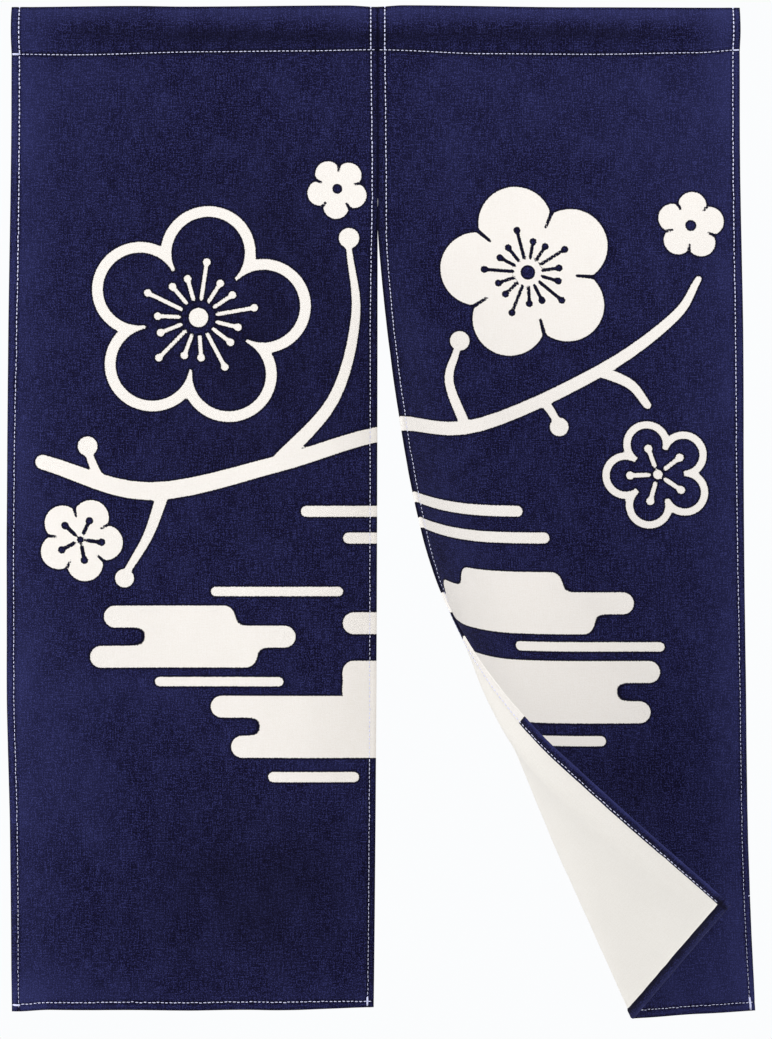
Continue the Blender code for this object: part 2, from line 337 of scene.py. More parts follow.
def right_base(across, down):
    """The same for the right panel, whose slit corner is lifted and turned over."""
    forward = soft_fold_depth(RIGHT_FOLDS, across, down) + hem_roll_depth(across, down)
    past = np.zeros(across.shape, int)
    for slit, hem in zip(TURNED_SLIT, TURNED_HEM):
        past += hem * (down - slit) > (DROP - slit) * across
    up = hem_line_shift(RIGHT_HEM_LINE, across, down) - down
    flat = np.stack([across, -forward, up, np.ones_like(across)], -1)
    placed = np.einsum("...ij,...j->...i", TURNED_PLACEMENTS[past], flat)
    x, y, z = placed[..., 0], placed[..., 1], placed[..., 2]
    height = clamp01(-z / DROP)
    below_slit = clamp01((height - SLIT_TOP / DROP) / (1.0 - SLIT_TOP / DROP))
    outer = across / RIGHT_WIDTH
    freed = smoothstep(below_slit / RIGHT_DRIFT_FREE_BY)
    x = x + SEAM_X + GAP / 2.0 + RIGHT_DRIFT * height * (freed + (1.0 - freed) * outer)
    x = x + RIGHT_FLARE * clamp01((height - RIGHT_FLARE_FROM) / (1.0 - RIGHT_FLARE_FROM)) ** 2
    x = x + outer_edge_bow("right", height) * outer**2
    x = x - sewn_seam(down, outer)
    y = y - CLOTH - RIGHT_SWING * below_slit**2
    return np.stack([x, y, z], -1)


# The panels' sewing and small relief
Panel = namedtuple(
    "Panel",
    "name base width print_start left_stitches right_stitches bottom_stitches heading_stitches top_line seed",
)
LEFT = Panel(
    "left", left_base, LEFT_WIDTH, -LEFT_WIDTH, LEFT_OUTER_STITCHES, LEFT_INNER_STITCHES,
    LEFT_BOTTOM_STITCHES, LEFT_HEADING_STITCHES, LEFT_TOP_LINE, 3,
)
RIGHT = Panel(
    "right", right_base, RIGHT_WIDTH, 0.0, RIGHT_INNER_STITCHES, RIGHT_OUTER_STITCHES,
    RIGHT_BOTTOM_STITCHES, RIGHT_HEADING_STITCHES, RIGHT_TOP_LINE, 8,
)


def unit(vectors):
    return vectors / np.maximum(np.linalg.norm(vectors, axis=-1, keepdims=True), 1e-12)


def facing(base, across, down):
    """Unit normals of the cloth, out of its front."""
    sideways = base(across + NORMAL_REACH, down) - base(across - NORMAL_REACH, down)
    downwards = base(across, down + NORMAL_REACH) - base(across, down - NORMAL_REACH)
    return unit(np.cross(downwards, sideways))


def past_stitches(panel, across, down):
    """Signed distances inwards past the left, right and bottom stitches, and down past the heading's."""
    return (
        across - soft_through(panel.left_stitches, down),
        panel.width - across - soft_through(panel.right_stitches, down),
        DROP - down - soft_through(panel.bottom_stitches, across),
        down - soft_through(panel.heading_stitches, across),
    )


def stitched_groove(away, along, pucker_height, seed):
    """The groove that a line of stitches draws into the cloth, and the puckers beside it."""
    fine = soft_noise(along, along * 0.0, 0.0065, 1.0, seed)
    pucker = fine + 0.6 * soft_noise(along, along * 0.0, 0.021, 1.0, seed + 5)
    return pucker_height * pucker * bell(away, PUCKER_HALF) - GROOVE_DEPTH * bell(away, GROOVE_HALF)


def sewn_relief(panel, across, down):
    """Ridges, grooves and puckers that the hems' stitches draw into the cloth."""
    total = np.zeros_like(across)
    lines = zip(past_stitches(panel, across, down), (down, down, across, across))
    for number, (away, along) in enumerate(lines):
        total = total + stitched_groove(away, along, PANEL_PUCKER, panel.seed * 10 + number)
    edge = np.minimum(np.minimum(across, panel.width - across), DROP - down)
    total = total - EDGE_ROUNDING * clamp01(1.0 - edge / EDGE_ROUNDING_WIDTH) ** 2
    return total + HEM_SWELL * np.sin(pi * clamp01(edge / HEM_SWELL_WIDTH))


DragFold = namedtuple("DragFold", "across down end_across end_down half_width depth")
WAVE_DEPTH = 0.0016
RIPPLE_DEPTH = 0.0005
DENT_DEPTH = 0.00022
EDGE_CURL = 0.0050
BOTTOM_CURL = 0.0020
EDGE_CURL_WIDTH = 0.065
DRAG_FOLDS = {
    "left": (
        DragFold(-0.02, 0.760, 0.230, 1.160, 0.026, 0.0034),
        DragFold(-0.03, 0.560, 0.140, 0.900, 0.030, 0.0026),
        DragFold(0.200, 0.900, 0.440, 0.990, 0.026, 0.0022),
        DragFold(0.230, 0.055, 0.300, 0.330, 0.022, 0.0014),
        DragFold(0.100, 0.055, 0.060, 0.300, 0.030, 0.0014),
    ),
    "right": (
        DragFold(0.320, 0.700, 0.440, 1.010, 0.026, 0.0030),
        DragFold(0.260, 0.060, 0.440, 0.330, 0.040, 0.0026),
        DragFold(0.090, 0.055, 0.160, 0.260, 0.026, 0.0014),
        DragFold(0.038, 0.760, 0.042, 1.280, 0.019, -0.0066),
        DragFold(0.080, 0.780, 0.118, 1.280, 0.032, 0.0040),
    ),
}


def from_outer_edge(panel, across):
    return across if panel.name == "left" else panel.width - across


def hung_relief(panel, across, down):
    """Long soft undulations and faint creases of canvas that hangs by its heading."""
    freed = smoothstep((down - 0.06) / 0.5)
    seed = panel.seed
    waves = WAVE_DEPTH * soft_noise(across + 0.10 * down, down, 0.075, 0.55, seed + 100) * freed
    ripples = RIPPLE_DEPTH * soft_noise(across, down, 0.034, 0.16, seed + 200) * (0.35 + 0.65 * freed)
    drags = np.zeros_like(across)
    for fold in DRAG_FOLDS[panel.name]:
        dx = fold.end_across - fold.across
        dy = fold.end_down - fold.down
        length = np.hypot(dx, dy)
        t = ((across - fold.across) * dx + (down - fold.down) * dy) / length**2
        away = ((across - fold.across) * dy - (down - fold.down) * dx) / length
        ends = smoothstep(t / 0.35) * smoothstep((1.0 - t) / 0.35)
        drags = drags + fold.depth * ends * bell(away, fold.half_width)
    outer = from_outer_edge(panel, across)
    freed = smoothstep((down - SLEEVE_DEPTH) / 0.12)
    curl = -EDGE_CURL * clamp01(1.0 - outer / EDGE_CURL_WIDTH) ** 2 * freed
    curl = curl - BOTTOM_CURL * clamp01(1.0 - (DROP - down) / EDGE_CURL_WIDTH) ** 2
    dents = DENT_DEPTH * soft_noise(across + down * 0.4, down - across * 0.5, 0.018, 0.026, seed + 300)
    return waves + ripples + drags + curl + dents


def hem_shares(panel, across, down):
    """Signed distances past the hems' inner edges: under 0 the cloth is doubled."""
    wander = 0.00035 * soft_noise(down, across, 0.013, 0.013, panel.seed + 400)
    return np.min(past_stitches(panel, across, down)[:3], axis=0) - HEM_PAST_STITCH + wander


def doubled_share(past_hem):
    """1 where a hem doubles the cloth, 0 past its inner edge, with a short step between."""
    return 1.0 - smoothstep((past_hem + 0.0004) / 0.0008)


# Patches painted paler or darker in the dye colour: painted light where folds, edges and hems catch the
# light, and with amount under 0 painted shade in the darker middle and beside the turned corner. x is from
# the seam, y from the top
Fade = namedtuple("Fade", "x y half_width half_height turn amount")
PAINTED_PATCHES = (
    Fade(-0.340, 0.110, 0.090, 0.060, 0.0, 0.28),
    Fade(-0.080, 0.120, 0.060, 0.080, 0.0, 0.14),
    Fade(0.080, 0.150, 0.050, 0.110, 10.0, 0.28),
    Fade(0.250, 0.110, 0.110, 0.070, 0.0, 0.34),
    Fade(0.340, 0.190, 0.050, 0.120, 0.0, 0.30),
    Fade(0.045, 0.420, 0.030, 0.110, -8.0, 0.40),
    Fade(0.075, 0.640, 0.032, 0.080, -20.0, 0.45),
    Fade(-0.300, 0.820, 0.120, 0.026, 0.0, 0.42),
    Fade(-0.335, 0.960, 0.038, 0.120, -28.0, 0.42),
    Fade(-0.080, 0.915, 0.070, 0.030, 15.0, 0.28),
    Fade(-0.425, 0.110, 0.030, 0.110, 0.0, 0.40),
    Fade(0.420, 0.110, 0.035, 0.100, 0.0, 0.40),
    Fade(0.200, 0.008, 0.200, 0.016, 0.0, 0.40),
    Fade(-0.400, 1.175, 0.080, 0.032, 0.0, 0.40),
    Fade(0.370, 1.165, 0.090, 0.045, 0.0, 0.60),
    Fade(-0.140, 0.390, 0.140, 0.190, 0.0, -0.62),
    Fade(-0.150, 1.060, 0.150, 0.100, 0.0, -0.70),
    Fade(0.310, 0.930, 0.060, 0.060, 0.0, -0.40),
)
BLOTCH = 0.4
SLEEVE_SHADE_DOWN = 0.036
SLEEVE_SHADE_HALF = 0.0095
TURNED_EDGE_FROM = 0.78
RIM_SHADE = 0.0017
GROOVE_SHADE = 0.0024
TOP_SHADE_ALONG = 0.0545
TOP_SHADE_HALF = 0.0030
DEEPEST = -1.6
PALEST = 1.8


def broad_painted_light_shade(panel, across, down):
    """Painted light and shade in the dye colour: paler along the outer, top and bottom edges where the light
    falls, paler or darker in patches, and a band of painted shade low on the sleeve.
    """
    outer = from_outer_edge(panel, across)
    # painted light: paler towards the outer and slit edges, the bottom and the sleeve's top, where the light
    # falls
    wear = 1.15 * np.exp(-outer / 0.042) + 0.25 * np.exp((outer - panel.width) / 0.016)
    wear = wear + 0.8 * np.exp((down - DROP) / 0.026) + bell(down, 0.018)
    wear = wear * (0.8 + 0.35 * soft_noise(across, down, 0.035, 0.05, panel.seed + 600))
    blotches = 1.0 + BLOTCH * soft_noise(across, down, 0.022, 0.030, panel.seed + 620)
    x = panel.print_start + across
    # painted light and shade: each patch paler or darker by its amount
    for patch in PAINTED_PATCHES:
        cosine, sine = cos(radians(patch.turn)), sin(radians(patch.turn))
        dx = (x - patch.x) * cosine + (down - patch.y) * sine
        dy = (down - patch.y) * cosine - (x - patch.x) * sine
        wear = wear + patch.amount * bell(dx, patch.half_width) * bell(dy, patch.half_height) * blotches
    # painted shade: a darker band low on the sleeve's front
    shade = bell(down - SLEEVE_SHADE_DOWN, SLEEVE_SHADE_HALF) * smoothstep(outer / 0.12)
    return wear - shade * (0.85 + 0.45 * soft_noise(across, down, 0.060, 0.04, panel.seed + 640))


def painted_light_shade_map(panel, across, down):
    """Painted light and shade in the dye colour: the broad marks, a painted highlight on the turned slit
    edge, painted shadow on the turned bottom hem, and painted shade along the folded rims, there part denser
    dye, and beside the stitches. These are the hems' own shades. From DEEPEST to PALEST, 0 for plain dye.
    """
    wear = broad_painted_light_shade(panel, across, down)
    outer = from_outer_edge(panel, across)
    slit = panel.width - outer
    turned_hem = np.zeros_like(across)
    if panel.name == "right":
        # painted highlight along the turned corner's folded slit edge, and painted shadow on its turned
        # bottom hem, lighter only at the very edge
        turned_edge = smoothstep((down - TURNED_EDGE_FROM) / 0.10)
        turned_hem = smoothstep((TURNED_BOTTOM_FROM - slit) / 0.02)
        turned_hem = turned_hem * smoothstep((0.020 - DROP + down) / 0.006)
        shaded = 0.5 - 2.0 * smoothstep((DROP - down - 0.003) / 0.006)
        wear = wear + PALEST * turned_edge * bell(slit, 0.0012) + shaded * turned_hem
        slit = slit + 0.01 * turned_edge
    # painted shade: darker rims along the folded edges, there part denser dye, and darker lines beside the
    # stitches
    edge = np.minimum(np.minimum(outer, slit), DROP - down)
    rim = bell(edge, RIM_SHADE) * (1.0 - turned_hem)
    stitched = np.min(np.abs(past_stitches(panel, across, down)), axis=0)
    groove = bell(stitched, GROOVE_SHADE) * (1.0 - 0.25 * turned_hem)
    return np.clip(np.clip(wear, -1.0, PALEST) - 2.4 * rim - 1.7 * groove, DEEPEST, PALEST)


def panel_surface(panel, across, down, front):
    """Places and outward normals on the front or the back of a panel."""
    out = facing(panel.base, across, down)
    relief = hung_relief(panel, across, down)
    sewn = sewn_relief(panel, across, down)
    if front:
        return panel.base(across, down) + out * (relief + sewn)[..., None], out
    thick = CLOTH + HEM_EXTRA * doubled_share(hem_shares(panel, across, down)) - 0.5 * sewn
    return panel.base(across, down) + out * (relief - thick)[..., None], -out


def hem_columns(width_left, width_right, total):
    """Columns from one side to the other: the two hems' own, and the middle ones between."""
    left = [share * width_left for share in HEM_SHARES]
    right = [total - share * width_right for share in reversed(HEM_SHARES)]
    inner = [left[-1] + (right[0] - left[-1]) * share for share in EVEN_SHARES]
    return np.stack(left + inner + right, -1)


def panel_grid(panel):
    """The (across, down) of every vertex of a panel, in rows from the top."""
    bottom_line = soft_through(panel.bottom_stitches, np.linspace(0.0, panel.width, 9))
    bottom_hem = float(np.mean(bottom_line)) + HEM_PAST_STITCH
    rows = np.linspace(SLEEVE_DEPTH, DROP - HEM_SHARES[-1] * bottom_hem, MIDDLE_ROWS)
    rows = np.concatenate([rows, [DROP - share * bottom_hem for share in reversed(HEM_SHARES[:-1])]])
    hem_left = soft_through(panel.left_stitches, rows) + HEM_PAST_STITCH
    hem_right = soft_through(panel.right_stitches, rows) + HEM_PAST_STITCH
    across = hem_columns(hem_left, hem_right, panel.width)
    if panel.name == "right":
        guides = np.array(RIGHT_COLUMN_GUIDES)
        knee = np.interp(EVEN_SHARES, guides[:, 0], guides[:, 1])
        hem = np.interp(EVEN_SHARES, guides[:, 0], guides[:, 2])
        middle = slice(len(HEM_SHARES), len(HEM_SHARES) + MIDDLE_COLUMNS)
        to_knee = smoothstep((rows - SLIT_TOP) / (COLUMN_KNEE - SLIT_TOP))[:, None]
        to_hem = clamp01((rows - COLUMN_KNEE) / (DROP - COLUMN_KNEE))[:, None]
        spread = across[:, middle]
        across[:, middle] = spread + (knee - spread) * to_knee + (hem - knee) * to_hem
    down = np.repeat(rows[:, None], across.shape[1], 1)
    top = soft_through(panel.heading_stitches, across) + JOIN_PAST_STITCH
    down = down + (top - SLEEVE_DEPTH) * (1.0 - smoothstep((down - SLEEVE_DEPTH) / 0.15))
    return across, down


# Printed motifs, as distances on the cloth. x is from the seam, y from the top
Blossom = namedtuple("Blossom", "x y radius turn line stamen per_petal")
OUTLINED_BLOSSOMS = (
    Blossom(-0.212, 0.372, 0.134, 8.0, 0.0125, 0.0022, 3),
    Blossom(0.330, 0.560, 0.066, -20.0, 0.0084, 0.0025, 1),
)
SOLID_BLOSSOMS = (
    Blossom(0.178, 0.318, 0.104, -14.0, 0.0026, 0.0021, 3),
    Blossom(-0.350, 0.638, 0.050, 25.0, 0.0021, 0.0024, 1),
    Blossom(0.372, 0.262, 0.040, 5.0, 0.0021, 0.0, 0),
    Blossom(-0.048, 0.218, 0.036, 40.0, 0.0021, 0.0, 0),
)
PETAL_REACH = 0.58
PETAL_RADIUS = 0.42
OUTLINED_HEART = 0.47
SOLID_HEART = 0.36
LARGE_DOT = 0.17
SMALL_DOT = 0.085
STAMEN_FROM = 0.17
LONG_STAMEN = 0.50
SHORT_STAMEN = 0.36
STAMEN_DOT = 0.0023
PLAIN_RIM = 0.008
FAR = 0.05
Twig = namedtuple("Twig", "x y radius")
BRANCHES = (
    (
        Twig(-0.395, 0.545, 0.0085),
        Twig(-0.270, 0.580, 0.0105),
        Twig(-0.120, 0.548, 0.0095),
        Twig(0.000, 0.512, 0.0088),
        Twig(0.120, 0.500, 0.0078),
        Twig(0.262, 0.436, 0.0070),
        Twig(0.350, 0.372, 0.0056),
        Twig(0.380, 0.326, 0.0036),
    ),
    (
        Twig(-0.120, 0.548, 0.0085),
        Twig(-0.052, 0.470, 0.0066),
        Twig(-0.026, 0.372, 0.0052),
        Twig(-0.034, 0.290, 0.0032),
    ),
    (Twig(0.262, 0.436, 0.0066), Twig(0.298, 0.452, 0.0056), Twig(0.318, 0.477, 0.0044)),
    (Twig(0.100, 0.502, 0.0066), Twig(0.082, 0.450, 0.0054), Twig(0.092, 0.412, 0.0038)),
    (Twig(-0.252, 0.580, 0.0072), Twig(-0.270, 0.632, 0.0056), Twig(-0.294, 0.674, 0.0040)),
    (Twig(-0.326, 0.568, 0.0056), Twig(-0.334, 0.552, 0.0048), Twig(-0.340, 0.536, 0.0042)),
    (Twig(0.192, 0.470, 0.0056), Twig(0.202, 0.482, 0.0048), Twig(0.209, 0.494, 0.0042)),
)
Bud = namedtuple("Bud", "x y radius")
BUDS = (
    Bud(-0.034, 0.277, 0.0120),
    Bud(0.096, 0.400, 0.0115),
    Bud(-0.298, 0.684, 0.0110),
    Bud(0.213, 0.503, 0.0110),
    Bud(-0.342, 0.526, 0.0115),
)
MistBar = namedtuple("MistBar", "left right y half_height")
MIST = (
    (
        MistBar(-0.322, -0.168, 0.730, 0.0130),
        MistBar(-0.272, -0.096, 0.754, 0.0130),
        MistBar(-0.338, -0.142, 0.778, 0.0130),
    ),
    (
        MistBar(-0.196, 0.060, 0.838, 0.0130),
        MistBar(-0.136, 0.050, 0.862, 0.0130),
        MistBar(-0.172, 0.030, 0.886, 0.0130),
    ),
    (MistBar(-0.196, -0.040, 0.700, 0.0055),),
    (MistBar(-0.262, -0.110, 0.808, 0.0055),),
    (MistBar(-0.128, -0.020, 0.922, 0.0060),),
    (MistBar(-0.090, 0.168, 0.604, 0.0065),),
    (MistBar(-0.040, 0.200, 0.636, 0.0065),),
    (
        MistBar(0.072, 0.214, 0.690, 0.0130),
        MistBar(0.020, 0.300, 0.714, 0.0130),
        MistBar(-0.040, 0.252, 0.738, 0.0130),
    ),
    (
        MistBar(-0.040, 0.330, 0.796, 0.0130),
        MistBar(-0.040, 0.276, 0.820, 0.0130),
        MistBar(0.120, 0.318, 0.844, 0.0130),
    ),
    (MistBar(0.150, 0.336, 0.766, 0.0055),),
    (MistBar(0.170, 0.262, 0.878, 0.0060),),
)
MIST_FILLET = 0.018


def to_segment(x, y, start, end):
    """Distance to a straight twig whose radius runs from one end's to the other's."""
    dx = end.x - start.x
    dy = end.y - start.y
    t = clamp01(((x - start.x) * dx + (y - start.y) * dy) / (dx * dx + dy * dy))
    radius = start.radius + (end.radius - start.radius) * t
    return np.hypot(x - start.x - dx * t, y - start.y - dy * t) - radius


def rounded_path(twigs):
    """The same twigs on one smooth curve through them."""
    return [Twig(*point) for point in spline(np.array(twigs), TWIG_CUTS)] + [twigs[-1]]


def to_round(x, y, centre, radius):
    return np.hypot(x - centre.x, y - centre.y) - radius


def from_heart(blossom, share, degrees, radius):
    """A twig's end at a share of a blossom's radius from its middle."""
    reach = blossom.radius * share
    angle = radians(blossom.turn + degrees)
    return Twig(blossom.x + reach * cos(angle), blossom.y + reach * sin(angle), radius)


def petals(x, y, blossom, heart):
    """Distance to five round petals about a round heart."""
    distance = to_round(x, y, blossom, heart)
    for i in range(5):
        petal = from_heart(blossom, PETAL_REACH, 72.0 * i - 90.0, blossom.radius * PETAL_RADIUS)
        distance = np.minimum(distance, to_round(x, y, petal, petal.radius))
    return distance


def creases(x, y, blossom):
    """Distance to the short lines that run in from the notches between the petals."""
    distance = np.full(x.shape, np.inf)
    for i in range(5):
        inner = from_heart(blossom, 0.56, 72.0 * i - 54.0, blossom.line * 0.7)
        outer = from_heart(blossom, 0.75, 72.0 * i - 54.0, blossom.line)
        distance = np.minimum(distance, to_segment(x, y, inner, outer))
    return distance


def stamens(x, y, blossom):
    """Distance to one large dot, or to fine lines with dots, the longest in the middle of each petal."""
    if blossom.per_petal == 0:
        return to_round(x, y, blossom, blossom.radius * LARGE_DOT)
    distance = to_round(x, y, blossom, blossom.radius * SMALL_DOT)
    for i in range(5 * blossom.per_petal):
        degrees = 72.0 / blossom.per_petal * i - 90.0
        reach = LONG_STAMEN if i % blossom.per_petal == 0 else SHORT_STAMEN
        inner = from_heart(blossom, STAMEN_FROM, degrees, blossom.stamen)
        outer = from_heart(blossom, reach, degrees, blossom.stamen)
        distance = np.minimum(distance, to_segment(x, y, inner, outer))
        distance = np.minimum(distance, to_round(x, y, outer, blossom.stamen + STAMEN_DOT))
    return distance


def mist_band(x, y, bars):
    """Distance to round-ended bars with soft fillets where they meet."""
    band = np.full(x.shape, FAR)
    for bar in bars:
        reach = np.maximum(bar.left + bar.half_height - x, x - bar.right + bar.half_height)
        away = np.hypot(np.maximum(reach, 0.0), y - bar.y) - bar.half_height
        blend = np.maximum(MIST_FILLET - np.abs(band - away), 0.0) / MIST_FILLET
        band = np.minimum(band, away) - blend * blend * MIST_FILLET / 4.0
    return band


def print_distance(x, y):
    """Signed distance to the bare motifs at a place on the flat print, under 0 inside them."""
    distance = np.full(x.shape, FAR)
    for twigs in BRANCHES:
        path = rounded_path(twigs)
        for start, end in zip(path, path[1:]):
            distance = np.minimum(distance, to_segment(x, y, start, end))
    for bud in BUDS:
        distance = np.minimum(distance, to_round(x, y, bud, bud.radius))
    for bars in MIST:
        distance = np.minimum(distance, mist_band(x, y, bars))
    for blossom in OUTLINED_BLOSSOMS:
        whole = petals(x, y, blossom, blossom.radius * OUTLINED_HEART + blossom.line)
        ring = np.abs(whole + blossom.line / 2.0) - blossom.line / 2.0
        inside = np.minimum(ring, stamens(x, y, blossom))
        distance = np.minimum(np.maximum(distance, PLAIN_RIM - whole), inside)
    for blossom in SOLID_BLOSSOMS:
        whole = petals(x, y, blossom, blossom.radius * SOLID_HEART)
        lines = np.minimum(stamens(x, y, blossom), creases(x, y, blossom))
        distance = np.minimum(np.maximum(distance, PLAIN_RIM - whole), np.maximum(whole, -lines))
    return distance


def past_edge(panel, across, down):
    """The flat print's place for the cloth's back, where a hem brings round what lies past the edge."""
    turned = np.where(across < panel.width / 2.0, -across, 2.0 * panel.width - across)
    return panel.print_start + turned, down


# Meshes
def sheet_mesh(name, front, back, attributes, cut):
    """A closed sheet: a fine front, a back on every second row and column, and the edges between."""
    rows, columns = front.shape[:2]
    coarse = back[::2, ::2]
    back_rows, back_columns = coarse.shape[:2]
    index = np.arange(rows * columns).reshape(rows, columns)
    behind = rows * columns + np.arange(back_rows * back_columns).reshape(back_rows, back_columns)
    faces = np.stack([index[:-1, :-1], index[1:, :-1], index[1:, 1:], index[:-1, 1:]], -1)
    faces = faces.reshape(-1, 4).tolist()
    edges = (
        (index[:, 0], behind[:, 0], False),
        (index[-1, :], behind[-1, :], False),
        (index[:, -1], behind[:, -1], True),
        (index[0, :], behind[0, :], True),
    )
    for fine, rough, flipped in edges:
        for i in range(len(rough) - 1):
            loop = [fine[2 * i], rough[i], rough[i + 1], fine[2 * i + 2], fine[2 * i + 1]]
            loop = [int(corner) for corner in loop]
            faces.append(loop[::-1] if flipped else loop)
    edge_count = len(faces)
    backs = np.stack([behind[:-1, :-1], behind[:-1, 1:], behind[1:, 1:], behind[1:, :-1]], -1)
    faces += backs.reshape(-1, 4).tolist()
    mesh = bpy.data.meshes.new(name)
    mesh.from_pydata(np.concatenate([front.reshape(-1, 3), coarse.reshape(-1, 3)]).tolist(), [], faces)
    for attribute, (fine, rough) in attributes.items():
        values = np.concatenate([fine.ravel(), rough[::2, ::2].ravel()]).astype(np.float32)
        mesh.attributes.new(attribute, "FLOAT", "POINT").data.foreach_set("value", values)
    across, down = cut
    flat = np.stack([across, down], -1)
    flat = np.concatenate([flat.reshape(-1, 2), flat[::2, ::2].reshape(-1, 2)]).astype(np.float32)
    corners = np.empty(len(mesh.loops), dtype=np.int32)
    mesh.loops.foreach_get("vertex_index", corners)
    layer = mesh.uv_layers.new(name="cut")
    layer.data.foreach_set("uv", flat[corners].ravel())
    slots = np.zeros(len(faces), dtype=np.int32)
    slots[edge_count:] = 1
    mesh.polygons.foreach_set("material_index", slots)
    mesh.shade_smooth()
    mesh.update()
    return mesh


def add_piece(name, mesh, *materials):
    piece = bpy.data.objects.new(name, mesh)
    bpy.context.scene.collection.objects.link(piece)
    for material in materials:
        mesh.materials.append(material)
    return piece


def add_sheet(name, sides, prints, hem, wear, cut, materials):
    """A piece of cloth. sides and prints each hold the front's array and the back's."""
    values = {"print": prints, "hem": (hem, hem), "wear": (wear, wear)}
    return add_piece(name, sheet_mesh(name, *sides, values, cut), *materials)


def add_panel(panel, materials):
    across, down = panel_grid(panel)
    sides = [panel_surface(panel, across, down, front)[0] for front in (True, False)]
    printed = print_distance(panel.print_start + across, down)
    wrapped = print_distance(*past_edge(panel, across, down))
    hem = hem_shares(panel, across, down)
    wear = painted_light_shade_map(panel, across, down)
    return add_sheet(panel.name + "_cloth", sides, (printed, wrapped), hem, wear, (across, down), materials)


# The rod sleeve
Section = namedtuple("Section", "y z")
SLEEVE_SECTION = (
    Section(-0.0012, -0.0520),
    Section(-0.0016, -0.0500),
    Section(-0.0040, -0.0440),
    Section(-0.0068, -0.0372),
    Section(-0.0082, -0.0290),
    Section(-0.0074, -0.0200),
    Section(-0.0052, -0.0110),
    Section(-0.0024, -0.0040),
    Section(0.0006, 0.0),
    Section(0.0046, -0.0035),
    Section(0.0080, -0.0120),
    Section(0.0092, -0.0240),
    Section(0.0078, -0.0370),
    Section(0.0044, -0.0470),
    Section(0.0026, -0.0520),
    Section(0.0023, -0.0552),
)


def sleeve_section():
    """The sleeve's outline as even steps along it, from the stitches in front over the top to the back."""
    points = np.array(SLEEVE_SECTION)
    fine = np.array(spline(points, SLEEVE_CUTS) + [points[-1]])
    lengths = np.concatenate([[0.0], np.cumsum(np.linalg.norm(np.diff(fine, axis=0), axis=1))])
    return fine, lengths


SLEEVE_LINE, SLEEVE_LENGTHS = sleeve_section()
SLEEVE_LENGTH = float(SLEEVE_LENGTHS[-1])


def sleeve_base(panel):
    """The sleeve's outer surface at (across, along): along is the length up from the front stitches."""

    def base(across, along):
        y = np.interp(along, SLEEVE_LENGTHS, SLEEVE_LINE[:, 0])
        z = np.interp(along, SLEEVE_LENGTHS, SLEEVE_LINE[:, 1])
        upward = clamp01(1.0 + z / SLEEVE_DEPTH)
        stitched = soft_through(panel.heading_stitches, across) + JOIN_PAST_STITCH
        z = z * (upward + (1.0 - upward) * stitched / SLEEVE_DEPTH)
        z = z + soft_through(panel.top_line, across) * smoothstep(upward)
        full = np.sin(pi * clamp01(along / SLEEVE_LENGTH)) ** 2
        slack = 0.7 * soft_noise(across, along, 0.060, 0.05, panel.seed + 500)
        slack = slack + 0.3 * soft_noise(across, along, 0.021, 0.03, panel.seed + 510)
        y = y * (1.0 + 0.16 * slack * full)
        wide = (panel.width + SLEEVE_OVERHANG) / panel.width
        if panel.name == "left":
            from_slit = panel.width - across
            x = SEAM_X - GAP / 2.0 - from_slit * wide + sewn_seam(0.0, from_slit / panel.width)
        else:
            x = SEAM_X + GAP / 2.0 + across * wide - sewn_seam(0.0, across / panel.width)
        return np.stack([x, y, z], -1)

    return base


def sleeve_surface(panel, across, along, outside):
    base = sleeve_base(panel)
    sideways = base(across + NORMAL_REACH, along) - base(across - NORMAL_REACH, along)
    above = base(across, np.minimum(along + NORMAL_REACH, SLEEVE_LENGTH))
    below = base(across, np.maximum(along - NORMAL_REACH, 0.0))
    out = unit(np.cross(sideways, above - below))
    left = across - soft_through(panel.left_stitches, along * 0.0)
    right = panel.width - across - soft_through(panel.right_stitches, along * 0.0)
    sewn = np.zeros_like(across)
    lines = (
        (left, along, 0),
        (right, along, 1),
        (along - JOIN_PAST_STITCH, across, 3),
        (SLEEVE_LENGTH - SLEEVE_BACK_STITCHES - along, across, 3),
    )
    for away, line, number in lines:
        sewn = sewn + stitched_groove(away, line, SLEEVE_PUCKER, panel.seed * 10 + number)
    if outside:
        return base(across, along) + out * sewn[..., None], out
    doubled = doubled_share(np.minimum(left, right) - HEM_PAST_STITCH)
    return base(across, along) - out * (CLOTH + 0.5 * HEM_EXTRA * doubled)[..., None], -out


def add_sleeve(panel, materials):
    along = np.linspace(0.0, SLEEVE_LENGTH, SLEEVE_ROWS * 2 + 1)[::-1]
    hem_left = np.full(along.shape, soft_through(panel.left_stitches, 0.0) + HEM_PAST_STITCH)
    hem_right = np.full(along.shape, soft_through(panel.right_stitches, 0.0) + HEM_PAST_STITCH)
    across = hem_columns(hem_left, hem_right, panel.width)
    along = np.repeat(along[:, None], across.shape[1], 1)
    sides = [sleeve_surface(panel, across, along, outside)[0] for outside in (True, False)]
    plain = np.full(across.shape, FAR)
    hem = np.minimum(across - hem_left[:, None], panel.width - hem_right[:, None] - across)
    down = soft_through(panel.heading_stitches, across) + JOIN_PAST_STITCH - along
    # painted shade: a dark line along the sleeve's top edge, over the other painted light and shade
    top_edge = bell(along - TOP_SHADE_ALONG, TOP_SHADE_HALF)
    wear = np.maximum(painted_light_shade_map(panel, across, down) - 2.2 * top_edge, DEEPEST)
    return add_sheet(panel.name + "_sleeve", sides, (plain, plain), hem, wear, (across, down), materials)


# Stitches
def stitch_starts(start, end):
    count = int((end - start) / STITCH_PITCH)
    return start + (end - start - count * STITCH_PITCH) / 2.0 + np.arange(count) * STITCH_PITCH


